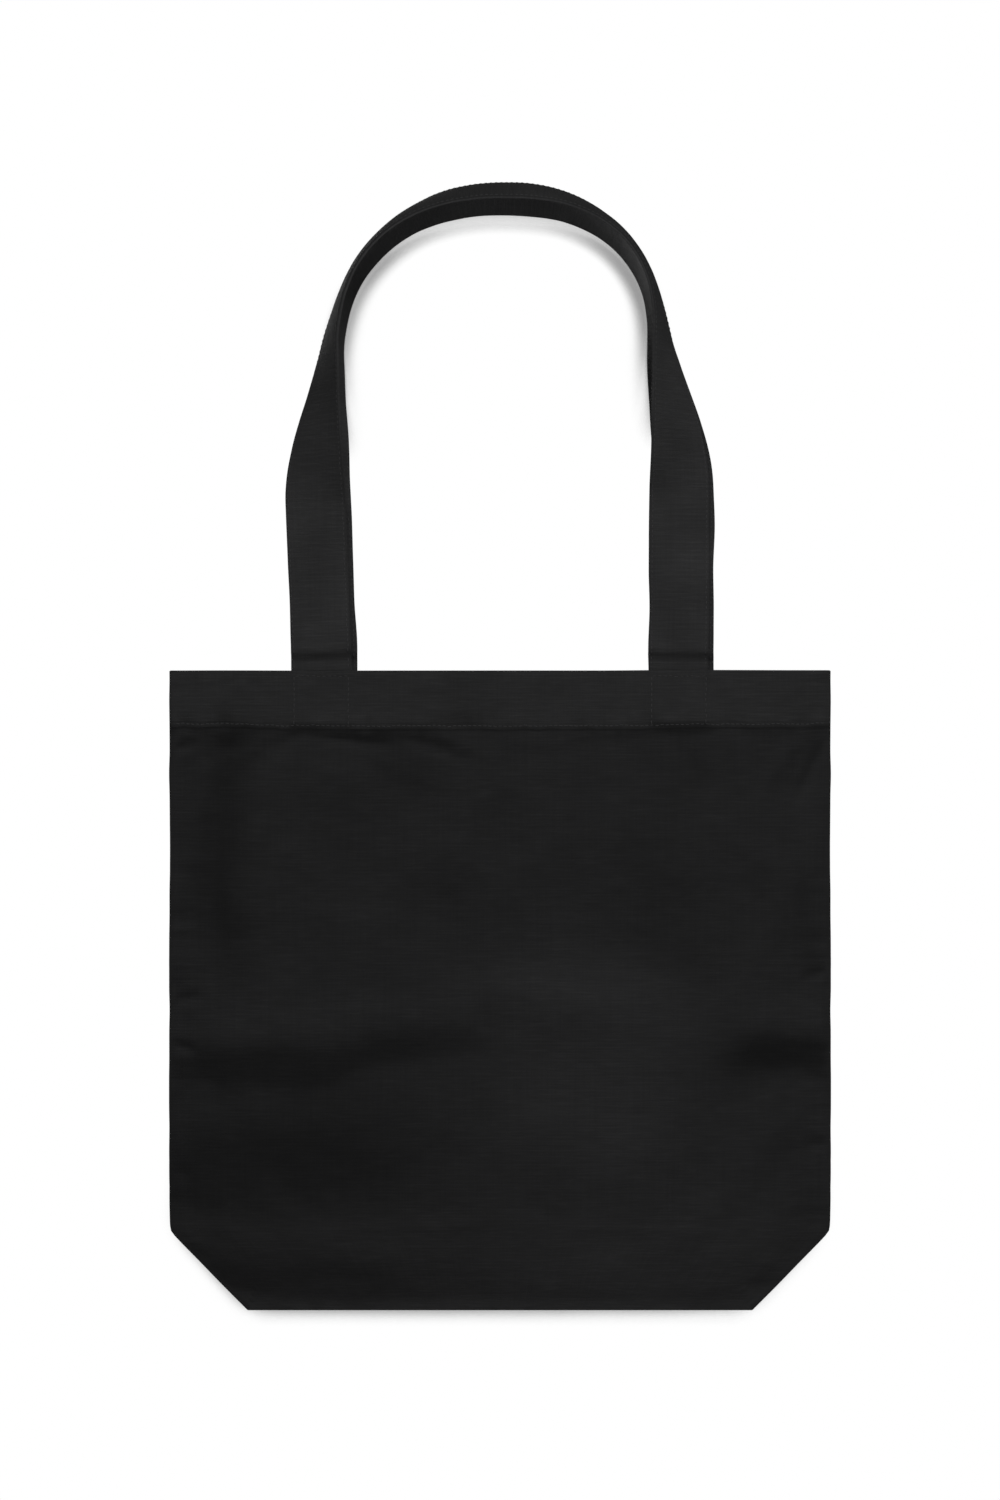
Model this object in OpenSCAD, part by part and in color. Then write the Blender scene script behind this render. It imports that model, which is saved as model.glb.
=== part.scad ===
// Canvas tote bag with two long open handles, hung up empty.
// The origin is the point where the handles hang from a peg: +Z is up and -Y is the front.
// Each soft layer is a plain solid in its true place, a small gap from the next layer.

/* [Bag body] */
// Width of the bag across its side seams
bag_w = 420; // [340:5:520]
// Height of the bag from its bottom seam to its rim
bag_h = 405; // [330:5:500]
// Width and height of each slanted bottom corner
corner_cut = 50; // [20:5:90]
// Thickness of the empty bag where it is fullest
belly_depth = 24; // [20:1:60]
// Thickness of the bag across its rim
mouth_depth = 18; // [15:1:24]

/* [Cloth and seams] */
// Thickness of one layer of canvas
cloth_t = 0.8; // [0.5:0.1:1.2]
// Height of the turned-in hem
hem_h = 35; // [24:1:60]
// Thickness of the turned-in hem layer
hem_t = 1; // [0.6:0.1:1.4]
// Width of the seam allowances inside the bag
seam_w = 9; // [6:0.5:14]
// Thickness of a seam allowance, which is two layers of canvas
seam_t = 1.6; // [1:0.1:2]
// Gap between one layer and the next
layer_gap = 0.3; // [0.2:0.05:0.6]

/* [Handles] */
// Width of the handle straps
strap_w = 38; // [24:1:50]
// Thickness of the handle straps
strap_t = 2.4; // [1.5:0.1:3]
// Distance between the middles of a handle's two ends
strap_pitch = 226; // [160:1:280]
// Height from the rim to the inside of the handle's top
handle_drop = 295; // [220:5:360]
// Height of the curved top of a handle
arch_rise = 88; // [60:1:120]
// How far each leg spreads outwards on its way up
arch_flare = 4.5; // [0:0.5:12]
// How far the curved top leans, to the left at its foot and to the right at its crown
arch_lean = 3; // [0:0.5:8]
// How far the back handle sits to the right of the front one
rear_shift = 3.5; // [0:0.5:8]
// Width that the twisted strap shows at the front on its shoulders
waist_w = 5; // [4:0.5:20]
// Width that the strap shows at the front at its crown
crown_w = 14; // [6:0.5:30]
// Distance of a strap's sewn end above the bottom of the hem
tail_margin = 2; // [1:0.5:6]

/* [Thread] */
// Thickness of a row of stitches
thread_t = 0.45; // [0.3:0.05:0.8]
// Width of a row of stitches
thread_w = 0.9; // [0.5:0.1:1.5]
// Distance of a row of stitches from the edge that it holds
stitch_inset = 1.8; // [1:0.1:4]
// Thickness of the overlocked edge of a seam allowance
overlock_t = 2.2; // [1.8:0.1:3]
// Width of the overlocked edge of a seam allowance
overlock_w = 1.4; // [1:0.1:3]

/* [Hidden] */
canvas_tone = [0.11, 0.11, 0.115];
hem_tone = [0.14, 0.14, 0.145];
strap_tone = [0.16, 0.16, 0.165];
thread_tone = [0.08, 0.08, 0.085];
rim_z = -handle_drop;
bottom_z = rim_z - bag_h;
corner_z = bottom_z + corner_cut;
half_w = bag_w / 2;
hem_z = rim_z - hem_h;
seam_edge_gap = layer_gap;
overlock_inset = seam_edge_gap + seam_w + layer_gap / 3;

// Half the bag's thickness along its outline, at its fullest and at its rim
edge_d = seam_t / 2 + layer_gap + cloth_t;
belly_d = belly_depth / 2;
rim_d = mouth_depth / 2;
// How square the bag is across its width, and how fast it fills out above its bottom
side_fullness = 4;
bottom_fullness = 5;
across_steps = 14;

// Half the width of the bag at a height
function half_width(z) = half_w - max(0, corner_z - z);

// Half the thickness of the bag in the middle of its width at a height
function mid_depth(z) =
    let (v = (z - bottom_z) / bag_h)
    edge_d + (belly_d - edge_d) * (1 - pow(1 - v, bottom_fullness))
        - (belly_d - rim_d) * v * v;

// Half the thickness of the bag at a place on the panel
function depth_at(x, z) =
    let (u = min(1, abs(x) / half_width(z)))
    edge_d + (mid_depth(z) - edge_d) * (1 - pow(u, side_fullness));

// Heights of the rows of the panel: close together in the corners, wider above them
corner_rows = 4;
body_rows = 9;
panel_heights = concat(
    [for (i = [0:corner_rows - 1]) bottom_z + corner_cut * i / corner_rows],
    [for (i = [0:body_rows]) corner_z + (hem_z - corner_z) * i / body_rows],
    [rim_z]
);

// Places across the width, from -1 to 1, closer together near the side seams
function across(i) = sin(90 * (2 * i / across_steps - 1));

// A closed sheet that follows the front of the bag. heights are its rows from the bottom up,
// side_cut is how far it stops short of the side seams, and outer and inner are the distances
// of its two faces from the bag's outer face, into the bag.
module front_sheet(heights, side_cut, outer, inner) {
    rows = len(heights);
    columns = across_steps + 1;
    faces_y = [outer, inner];
    points = [
        for (face_y = faces_y)
        for (z = heights)
        for (i = [0:across_steps])
        let (x = across(i) * (half_width(z) - side_cut))
        [x, face_y - depth_at(x, z), z]
    ];
    function at(side, row, column) = (side * rows + row) * columns + column;
    outer_faces = [
        for (r = [0:rows - 2])
        for (c = [0:columns - 2])
        for (half = [0, 1])
        half == 0
            ? [at(0, r, c), at(0, r + 1, c), at(0, r + 1, c + 1)]
            : [at(0, r, c), at(0, r + 1, c + 1), at(0, r, c + 1)]
    ];
    inner_faces = [
        for (r = [0:rows - 2])
        for (c = [0:columns - 2])
        for (half = [0, 1])
        half == 0
            ? [at(1, r, c), at(1, r + 1, c + 1), at(1, r + 1, c)]
            : [at(1, r, c), at(1, r, c + 1), at(1, r + 1, c + 1)]
    ];
    side_faces = [
        for (r = [0:rows - 2])
        for (side = [0, 1])
        let (c = side * (columns - 1))
        side == 0
            ? [at(0, r, c), at(1, r, c), at(1, r + 1, c), at(0, r + 1, c)]
            : [at(0, r, c), at(0, r + 1, c), at(1, r + 1, c), at(1, r, c)]
    ];
    end_faces = [
        for (c = [0:columns - 2])
        for (end = [0, 1])
        let (r = end * (rows - 1))
        end == 0
            ? [at(0, r, c), at(0, r, c + 1), at(1, r, c + 1), at(1, r, c)]
            : [at(0, r, c), at(1, r, c), at(1, r, c + 1), at(0, r, c + 1)]
    ];
    polyhedron(points, concat(outer_faces, inner_faces, side_faces, end_faces));
}

// Where the straps are sewn in: their flat ends lie inside the turned-in hem
strap_inner_x = (strap_pitch - strap_w) / 2;
strap_outer_x = (strap_pitch + strap_w) / 2;
hem_inner_y = cloth_t + layer_gap + hem_t - depth_at(strap_outer_x, rim_z);
tail_y = hem_inner_y + layer_gap;
tail_bottom_z = hem_z + tail_margin;

// The handle is a ribbon: its inner edge goes up one leg, round the arch and down the other leg,
// and the ribbon's width turns from across the bag to front-to-back on the way.
leg_h = handle_drop - arch_rise;
arch_half_w = strap_inner_x + arch_flare;
leg_steps = 14;
arch_steps = 32;
arch_squareness = 0.85;
crown_sharpness = 5;
ribbon_steps = 2 * leg_steps + arch_steps;
// Heights, from the top of the leg, between which each leg turns edge-on
turn_left = [-100, 36];
turn_right = [-92, 48];
// Distance of the arch's rear edge from the plane between the two handles
arch_back_gap = 0.5;

function smooth(t) =
    let (c = max(0, min(1, t)))
    c * c * (3 - 2 * c);

function round_power(v) = sign(v) * pow(abs(v), arch_squareness);

// Inner edge of the ribbon as [x, height above the rim]
function inner_edge(i) =
    i < leg_steps
        ? let (t = i / leg_steps)
            [-strap_inner_x - (arch_flare + arch_lean) * t, layer_gap + (leg_h - layer_gap) * t]
        : i > leg_steps + arch_steps
            ? let (t = (ribbon_steps - i) / leg_steps)
                [strap_inner_x + (arch_flare - arch_lean) * t, layer_gap + (leg_h - layer_gap) * t]
            : let (a = 180 * (1 - (i - leg_steps) / arch_steps), lift = round_power(sin(a)))
                [arch_half_w * round_power(cos(a)) + arch_lean * (2 * lift - 1), leg_h + arch_rise * lift];

// Outward direction of the inner edge, in the plane of the bag
function outward(i) =
    let (
        a = inner_edge(max(0, i - 1)),
        b = inner_edge(min(ribbon_steps, i + 1)),
        d = (b - a) / norm(b - a)
    )
    i == 0 || i == ribbon_steps ? [i == 0 ? -1 : 1, 0] : [-d[1], d[0]];

// How far a leg has turned, from 0 facing the front to 1 edge-on
function turned(i) =
    let (h = inner_edge(i)[1] - leg_h, turn = i < ribbon_steps / 2 ? turn_left : turn_right)
    smooth((h - turn[0]) / (turn[1] - turn[0]));

// Width that the ribbon shows at the front
function shown_width(i) =
    let (
        t = max(0, min(1, (i - leg_steps) / arch_steps)),
        arch_width = waist_w + (crown_w - waist_w) * pow(sin(180 * t), crown_sharpness)
    )
    strap_w + (arch_width - strap_w) * turned(i);

// Distance of the ribbon's middle layer from the plane between the handles, at its rear edge
leg_y = tail_y + strap_t / 2;
function rear_edge_y(i) = leg_y + (-arch_back_gap - strap_t / 2 - leg_y) * turned(i);

function ribbon_inner(i) =
    let (p = inner_edge(i), w = shown_width(i))
    [p[0], rear_edge_y(i) - sqrt(max(0, strap_w * strap_w - w * w)), rim_z + p[1]];

function ribbon_outer(i) =
    let (p = inner_edge(i), n = outward(i), w = shown_width(i))
    [p[0] + n[0] * w, rear_edge_y(i), rim_z + p[1] + n[1] * w];

// Direction through the ribbon's thickness, towards its outer face
function ribbon_normal(i) =
    let (
        along = ribbon_inner(min(ribbon_steps, i + 1)) + ribbon_outer(min(ribbon_steps, i + 1))
            - ribbon_inner(max(0, i - 1)) - ribbon_outer(max(0, i - 1)),
        n = cross(ribbon_outer(i) - ribbon_inner(i), along)
    )
    n / norm(n);

// A closed strip along the ribbon, between two fractions of its width and two distances
// through its thickness from its middle layer
module ribbon(from, to, low, high) {
    rings = ribbon_steps + 1;
    points = [
        for (i = [0:ribbon_steps])
        let (a = ribbon_inner(i), b = ribbon_outer(i), n = ribbon_normal(i))
        for (corner = [[from, high], [to, high], [to, low], [from, low]])
        a + (b - a) * corner[0] + n * corner[1]
    ];
    walls = [
        for (i = [0:rings - 2])
        for (k = [0:3])
        let (a = 4 * i + k, b = 4 * i + (k + 1) % 4)
        for (half = [0, 1])
        half == 0 ? [a, b, b + 4] : [a, b + 4, a + 4]
    ];
    last = 4 * (rings - 1);
    polyhedron(points, concat(walls, [[3, 2, 1, 0], [last, last + 1, last + 2, last + 3]]));
}

// Puts a front piece at the back of the bag
module at_back(back) {
    if (back) mirror([0, 1, 0]) children();
    else children();
}

// Puts a strap piece at the back, with the back handle's shift to the right
module handle_place(back) {
    at_back(back) translate([back ? rear_shift : 0, 0, 0]) children();
}

module panel(back) {
    color(canvas_tone) at_back(back) front_sheet(panel_heights, 0, 0, cloth_t);
}

// The hem band is turned in at the rim and stops short of the side seams
hem_side_cut = overlock_inset + overlock_w + layer_gap;
hem_outer = cloth_t + layer_gap;
hem_gap_top = 0.2;

module hem(back) {
    heights = [hem_z, (hem_z + rim_z) / 2, rim_z - hem_gap_top];
    color(hem_tone) at_back(back) front_sheet(heights, hem_side_cut, hem_outer, hem_outer + hem_t);
}

module strap_tail(back, side) {
    middle_x = side * strap_pitch / 2;
    color(strap_tone) handle_place(back)
        translate([middle_x - strap_w / 2, tail_y, tail_bottom_z])
            cube([strap_w, strap_t, rim_z - hem_gap_top - tail_bottom_z]);
}

module handle(back) {
    color(strap_tone) handle_place(back) ribbon(0, 1, -strap_t / 2, strap_t / 2);
}

module handle_stitches(back) {
    low = strap_t / 2 + 2 * layer_gap;
    inset = stitch_inset / strap_w;
    half = thread_w / 2 / strap_w;
    color(thread_tone) handle_place(back) {
        ribbon(inset - half, inset + half, low, low + thread_t);
        ribbon(1 - inset - half, 1 - inset + half, low, low + thread_t);
    }
}

// A row of stitches across the outside of the bag at the bottom of the hem
hem_row_z = hem_z + stitch_inset;
thread_outer = -layer_gap / 2 - thread_t;

module hem_stitches(back) {
    heights = [hem_row_z - thread_w / 2, hem_row_z + thread_w / 2];
    color(thread_tone) at_back(back) front_sheet(heights, seam_w, thread_outer, -layer_gap / 2);
}

// The box of stitches that holds one strap end: two upright rows and one across, on the outside
box_top_z = rim_z - 2 * stitch_inset;
box_bottom_z = hem_row_z + thread_w;

module box_stitches(back, side) {
    middle_x = side * strap_pitch / 2;
    reach = strap_w / 2 - stitch_inset;
    near_y = -depth_at(strap_inner_x, box_top_z) - 2 * layer_gap;
    color(thread_tone) handle_place(back) {
        for (edge = [-1, 1])
            translate([middle_x + edge * reach - thread_w / 2, near_y - thread_t, box_bottom_z])
                cube([thread_w, thread_t, box_top_z - box_bottom_z]);
        translate([middle_x - reach + thread_w, near_y - thread_t, box_top_z - thread_w])
            cube([2 * reach - 2 * thread_w, thread_t, thread_w]);
    }
}

// The seam allowances lie inside the bag, between the edges of the front and the back

module side_seam(side) {
    outer_x = half_w - seam_edge_gap;
    left_x = side > 0 ? outer_x - seam_w : -outer_x;
    color(hem_tone) translate([left_x, -seam_t / 2, corner_z + layer_gap])
        cube([seam_w, seam_t, bag_h - corner_cut - 2 * layer_gap]);
}

bottom_half_w = half_w - corner_cut;

module bottom_seam() {
    color(hem_tone) translate([-bottom_half_w + layer_gap, -seam_t / 2, bottom_z + seam_edge_gap])
        cube([2 * (bottom_half_w - layer_gap), seam_t, seam_w]);
}

// A corner seam runs up the slanted corner; its ends are cut square to clear its neighbours
corner_length = corner_cut * sqrt(2);
corner_trim = seam_w + 2 * layer_gap;

module corner_strip(side, inset, width, thick) {
    mirror([side > 0 ? 0 : 1, 0, 0])
        translate([bottom_half_w, 0, bottom_z])
            rotate([0, -45, 0])
                translate([corner_trim, -thick / 2, inset])
                    cube([corner_length - 2 * corner_trim, thick, width]);
}

module corner_seam(side) {
    color(hem_tone) corner_strip(side, seam_edge_gap, seam_w, seam_t);
}

// Overlocking wraps the raw inner edge of each seam allowance

module side_overlock() {
    for (side = [-1, 1]) {
        middle_x = side * (half_w - overlock_inset - overlock_w / 2);
        bottom = corner_z + seam_w;
        color(thread_tone) translate([middle_x - overlock_w / 2, -overlock_t / 2, bottom])
            cube([overlock_w, overlock_t, rim_z - 2 * layer_gap - bottom]);
    }
}

module bottom_overlock() {
    reach = bottom_half_w - seam_w;
    color(thread_tone) translate([-reach, -overlock_t / 2, bottom_z + overlock_inset])
        cube([2 * reach, overlock_t, overlock_w]);
}

module corner_overlock() {
    for (side = [-1, 1])
        color(thread_tone) corner_strip(side, overlock_inset, overlock_w, overlock_t);
}

side_seam(-1);  // left_side_seam
side_seam(1);  // right_side_seam
bottom_seam();
corner_seam(-1);  // left_corner_seam
corner_seam(1);  // right_corner_seam
side_overlock();  // side_overlock_threads
bottom_overlock();  // bottom_overlock_thread
corner_overlock();  // corner_overlock_threads
panel(false);  // front_panel
hem(false);  // front_hem_fold
strap_tail(false, -1);  // front_strap_tail_left
strap_tail(false, 1);  // front_strap_tail_right
hem_stitches(false);  // front_hem_stitches
box_stitches(false, -1);  // front_box_stitches_left
box_stitches(false, 1);  // front_box_stitches_right
panel(true);  // back_panel
hem(true);  // back_hem_fold
strap_tail(true, -1);  // back_strap_tail_left
strap_tail(true, 1);  // back_strap_tail_right
hem_stitches(true);  // back_hem_stitches
box_stitches(true, -1);  // back_box_stitches_left
box_stitches(true, 1);  // back_box_stitches_right
handle(false);  // front_handle
handle_stitches(false);  // front_handle_stitches
handle(true);  // back_handle
handle_stitches(true);  // back_handle_stitches
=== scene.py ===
import math

import bmesh
import bpy
import numpy as np
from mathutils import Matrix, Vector


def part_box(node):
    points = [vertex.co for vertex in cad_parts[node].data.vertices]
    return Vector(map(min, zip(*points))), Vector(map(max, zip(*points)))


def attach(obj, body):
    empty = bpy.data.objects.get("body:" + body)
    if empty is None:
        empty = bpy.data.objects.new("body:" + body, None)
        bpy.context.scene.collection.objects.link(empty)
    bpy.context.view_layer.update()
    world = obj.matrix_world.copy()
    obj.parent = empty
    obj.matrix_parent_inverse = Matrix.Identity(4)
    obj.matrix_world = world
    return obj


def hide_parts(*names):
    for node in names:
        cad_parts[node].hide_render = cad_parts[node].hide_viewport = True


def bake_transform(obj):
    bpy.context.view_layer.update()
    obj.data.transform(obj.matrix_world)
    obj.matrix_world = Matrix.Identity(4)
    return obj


bl_info = {
    "name": "Canvas Tote Bag",
    "version": (1, 0, 0),
    "blender": (4, 5, 0),
    "location": "View3D > Sidebar > Tote Bag",
    "description": "Sews a canvas tote bag round its frame: panels, handles, stitches, seams and a studio",
    "category": "Add Mesh",
}

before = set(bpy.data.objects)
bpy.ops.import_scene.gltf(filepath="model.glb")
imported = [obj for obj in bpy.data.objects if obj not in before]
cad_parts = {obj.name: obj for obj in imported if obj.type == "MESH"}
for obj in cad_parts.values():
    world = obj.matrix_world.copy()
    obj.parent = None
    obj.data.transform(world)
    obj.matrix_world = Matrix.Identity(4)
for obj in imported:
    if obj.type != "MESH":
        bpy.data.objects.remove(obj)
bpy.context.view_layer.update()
MM = 0.001

# Places that the frame gives
PANEL_LOW, PANEL_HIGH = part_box("front_panel")
HALF_W = PANEL_HIGH.x
RIM_Z = PANEL_HIGH.z
BOTTOM_Z = PANEL_LOW.z
HEM_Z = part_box("front_hem_fold")[0].z
LAYER_GAP = 0.3 * MM
CORNER_CUT = HALF_W - LAYER_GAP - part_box("bottom_seam")[1].x
TAIL_LOW, TAIL_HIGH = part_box("front_strap_tail_right")
STRAP_W = TAIL_HIGH.x - TAIL_LOW.x
STRAP_T = TAIL_HIGH.y - TAIL_LOW.y
STRAP_PITCH = TAIL_HIGH.x + TAIL_LOW.x
TAIL_Y = (TAIL_LOW.y + TAIL_HIGH.y) / 2
TAIL_BOTTOM = TAIL_LOW.z
REAR_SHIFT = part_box("back_strap_tail_right")[0].x - TAIL_LOW.x
SEAM_LOW, SEAM_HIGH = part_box("right_side_seam")
SEAM_W = SEAM_HIGH.x - SEAM_LOW.x
SEAM_T = SEAM_HIGH.y - SEAM_LOW.y
FRONT, BACK = -1, 1
NAMES = {FRONT: "front", BACK: "back"}


class ToteSizes(bpy.types.PropertyGroup):
    cloth: bpy.props.FloatProperty(
        name="Canvas", description="Thickness of one layer of canvas", default=0.8 * MM, unit="LENGTH")
    columns: bpy.props.IntProperty(
        name="Columns", description="Quads across a panel", default=236, min=60, max=260)
    rows: bpy.props.IntProperty(
        name="Rows", description="Quads up a panel below its hem", default=122, min=30, max=150)
    stitch: bpy.props.FloatProperty(
        name="Stitch", description="Length of one stitch with its gap", default=3.2 * MM, unit="LENGTH")
    thread: bpy.props.FloatProperty(
        name="Thread", description="Thickness of the sewing thread", default=0.5 * MM, unit="LENGTH")
    inset: bpy.props.FloatProperty(
        name="Stitch inset", description="Distance of a row from its edge", default=1.8 * MM, unit="LENGTH")
    belly: bpy.props.FloatProperty(
        name="Belly", description="Half the bag's fullest thickness", default=12 * MM, unit="LENGTH")
    mouth: bpy.props.FloatProperty(
        name="Mouth", description="Half the bag's thickness at its rim", default=9 * MM, unit="LENGTH")
    edge: bpy.props.FloatProperty(
        name="Edge", description="Half the bag's thickness along its outline", default=1.9 * MM, unit="LENGTH")
    arch_rise: bpy.props.FloatProperty(
        name="Arch rise", description="Height of a handle's curved top", default=88 * MM, unit="LENGTH")
    arch_flare: bpy.props.FloatProperty(
        name="Arch flare", description="How far a handle's legs spread", default=4.5 * MM, unit="LENGTH")
    arch_lean: bpy.props.FloatProperty(
        name="Arch lean", description="How far a handle's top leans over", default=3 * MM, unit="LENGTH")
    waist: bpy.props.FloatProperty(
        name="Shoulder width", description="Width that a turned strap shows at the front", default=5 * MM,
        unit="LENGTH")
    crown: bpy.props.FloatProperty(
        name="Crown width", description="Width that a strap shows at its crown", default=14 * MM,
        unit="LENGTH")


class ToteColours(bpy.types.PropertyGroup):
    canvas: bpy.props.FloatVectorProperty(
        name="Canvas", description="Colour of the panels", subtype="COLOR", size=3,
        default=(0.0130, 0.0130, 0.0133))
    hem: bpy.props.FloatVectorProperty(
        name="Hem", description="Colour of the doubled hem", subtype="COLOR", size=3,
        default=(0.0180, 0.0180, 0.0183))
    strap: bpy.props.FloatVectorProperty(
        name="Straps", description="Colour of the straps", subtype="COLOR", size=3,
        default=(0.0218, 0.0218, 0.0222))
    thread: bpy.props.FloatVectorProperty(
        name="Thread", description="Colour of the sewing thread", subtype="COLOR", size=3,
        default=(0.0350, 0.0350, 0.0358))
    floor: bpy.props.FloatVectorProperty(
        name="Floor", description="Colour of the floor", subtype="COLOR", size=3,
        default=(0.90, 0.90, 0.90))


# ---------------------------------------------------------------- small tools


def smooth(t):
    """Smooth step from 0 to 1."""
    t = np.clip(t, 0.0, 1.0)
    return t * t * (3 - 2 * t)


def bump(d, width):
    """A soft hill: 1 at distance 0, and almost 0 past twice the width."""
    return np.exp(-((d / width) ** 2))


def noise(x, z, cell_x, cell_z, seed):
    """Smooth noise from -1 to 1 with cells of the given size in metres."""
    grid = np.random.default_rng(seed).uniform(-1, 1, (256, 256))
    a, b = x / cell_x + 1000, z / cell_z + 1000
    i, j = np.floor(a).astype(int), np.floor(b).astype(int)
    s, t = smooth(a - i), smooth(b - j)
    i, j, i2, j2 = i % 256, j % 256, (i + 1) % 256, (j + 1) % 256
    low = grid[i, j] * (1 - s) + grid[i2, j] * s
    high = grid[i, j2] * (1 - s) + grid[i2, j2] * s
    return low * (1 - t) + high * t


def half_width(z):
    """Half the bag's width at a height: narrower where the corners are cut."""
    past = BOTTOM_Z + CORNER_CUT - z
    return HALF_W - (past + np.sqrt(past**2 + (1.6 * MM) ** 2)) / 2


def from_outline(x, z):
    """Distance from the nearest side, bottom or corner edge, measured in the panel."""
    side = HALF_W - np.abs(x)
    corner = (side + (z - BOTTOM_Z) - CORNER_CUT) / math.sqrt(2)
    return np.minimum(np.minimum(side, z - BOTTOM_Z), corner)


def depth_at(x, z):
    """Half the bag's thickness at a place on the panel, without its folds."""
    sizes = bpy.context.scene.tote_sizes
    v = (z - BOTTOM_Z) / (RIM_Z - BOTTOM_Z)
    middle = sizes.edge + (sizes.belly - sizes.edge) * (1 - (1 - np.minimum(v, 1)) ** 5)
    middle = middle - (sizes.belly - sizes.mouth) * v * v
    u = np.minimum(1, np.abs(x) / half_width(z))
    return sizes.edge + (middle - sizes.edge) * (1 - u**4)


def mesh_piece(name, points, faces, uvs=None):
    """A mesh object with flat corner UVs in metres, shaded smooth."""
    mesh = bpy.data.meshes.new(name)
    mesh.from_pydata([tuple(p) for p in points], [], [tuple(f) for f in faces])
    mesh.polygons.foreach_set("use_smooth", [True] * len(mesh.polygons))
    if uvs is not None:
        layer = mesh.uv_layers.new(name="cloth")
        corners = np.zeros(len(mesh.loops), np.int32)
        mesh.loops.foreach_get("vertex_index", corners)
        layer.data.foreach_set("uv", np.asarray(uvs, np.float32)[corners].ravel())
    mesh.validate()
    piece = bpy.data.objects.new(name, mesh)
    bpy.context.scene.collection.objects.link(piece)
    return piece


def grid_faces(rows, columns, start=0, loop=False, flip=False):
    """Quads over a grid of rows by columns of points, closed across the columns if loop."""
    r = np.arange(rows - 1)[:, None]
    c = np.arange(columns if loop else columns - 1)[None, :]
    c2 = (c + 1) % columns
    a, b = r * columns + c, r * columns + c2
    d, e = (r + 1) * columns + c, (r + 1) * columns + c2
    quad = [a, b, e, d] if not flip else [a, d, e, b]
    return (np.stack([q + 0 * a for q in quad], -1).reshape(-1, 4) + start).tolist()


def set_painted_shading(piece, values):
    """Stores a piece's painted shading on its points, from 0 for painted shade where the cloth leans down to 1
    for painted light where it leans up.
    """
    layer = piece.data.attributes.new("painted_shading", "FLOAT", "POINT")
    layer.data.foreach_set("value", np.clip(values, 0, 1).astype(np.float32))


def recalculate_outside(piece):
    """Points every face of a closed piece outwards."""
    work = bmesh.new()
    work.from_mesh(piece.data)
    bmesh.ops.recalc_face_normals(work, faces=work.faces)
    work.to_mesh(piece.data)
    work.free()


def apply_modifiers(piece):
    """Makes a piece's modifiers part of its mesh."""
    bpy.ops.object.select_all(action="DESELECT")
    piece.select_set(True)
    bpy.context.view_layer.objects.active = piece
    for modifier in list(piece.modifiers):
        bpy.ops.object.modifier_apply(modifier=modifier.name)
    piece.select_set(False)


def vertices_of(piece):
    """The places of a piece's points, one row each."""
    co = np.zeros(len(piece.data.vertices) * 3)
    piece.data.vertices.foreach_get("co", co)
    return co.reshape(-1, 3)


def panel_weights(co):
    """Weights across a panel: 1 in its middle, falling to 0 towards its side seams."""
    u = np.abs(co[:, 0]) / half_width(np.minimum(co[:, 2], RIM_Z))
    return 1 - smooth((u - 0.66) / 0.33)


def follow_panel(piece):
    """Makes a piece's place part of its mesh and works out its panel weights, which are not kept."""
    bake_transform(piece)
    panel_weights(vertices_of(piece))


def follow_handle(piece):
    """Makes a strap piece's place part of its mesh."""
    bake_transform(piece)


# ---------------------------------------------------------------- canvas panels

# Soft folds of each panel: place across and below the rim, direction in degrees from level,
# length and width, and how far it stands out (+) or dips in (-), all in millimetres.
FRONT_FOLDS = (
    (-150, 236, 2, 120, 34, 3.8), (-150, 266, 2, 120, 34, -2.2), (-62, 222, 5, 100, 32, 2.4),
    (-60, 246, 5, 90, 24, -1.2), (55, 206, -5, 110, 40, 2.4), (182, 228, 0, 76, 28, 3.6),
    (186, 256, -2, 64, 24, -2.0), (-130, 292, 8, 180, 84, 2.4), (50, 300, -10, 120, 64, 2.2),
    (160, 300, 20, 80, 40, 1.2), (-100, 366, 2, 150, 40, 1.4), (-60, 352, 3, 120, 7, 0.5),
    (90, 354, -2, 110, 7, 0.5), (-181, 118, 86, 150, 20, -4.2), (-158, 100, 80, 100, 28, 2.6),
    (-146, 52, 44, 60, 16, -1.5), (-92, 43, -6, 40, 9, -2.2), (-58, 60, -28, 66, 18, 1.2),
    (-44, 47, -20, 54, 12, -1.5), (198, 62, 64, 40, 9, -1.8), (180, 54, 58, 50, 14, 1.2),
    (30, 52, 14, 70, 18, -0.7), (120, 62, -76, 50, 16, -1.4), (96, 112, -82, 100, 34, 1.8),
    (196, 140, -84, 90, 12, 1.6), (-200, 208, 10, 22, 8, -1.6), (-202, 238, -14, 18, 7, -1.5),
    (202, 192, 14, 20, 8, -1.6), (-202, 48, 20, 20, 7, -1.4), (-30, 150, 68, 130, 44, -1.6),
    (203, 300, 8, 18, 8, -1.1), (-203, 318, -12, 16, 8, -1.1),
)
BACK_FOLDS = (
    (110, 232, -2, 150, 28, 3.8), (120, 258, -3, 130, 26, -2.4), (-10, 226, 4, 100, 26, 2.6),
    (-95, 212, 6, 90, 36, 2.6), (-180, 234, 0, 60, 22, -2.4), (178, 120, -84, 120, 18, -3.6),
    (152, 100, -78, 84, 24, 2.4), (88, 45, 10, 40, 10, -2.0), (40, 60, 24, 64, 18, 1.2),
    (-196, 70, -60, 34, 9, -1.7), (-120, 58, 78, 52, 15, -1.6), (-70, 120, 80, 100, 32, 1.8),
    (120, 300, -10, 150, 70, 2.4), (-60, 292, 22, 110, 60, 2.0), (60, 352, -2, 130, 7, 0.5),
    (-95, 354, 2, 100, 7, 0.5), (202, 205, -8, 20, 8, -1.5), (-202, 190, -12, 18, 8, -1.5),
)
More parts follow.
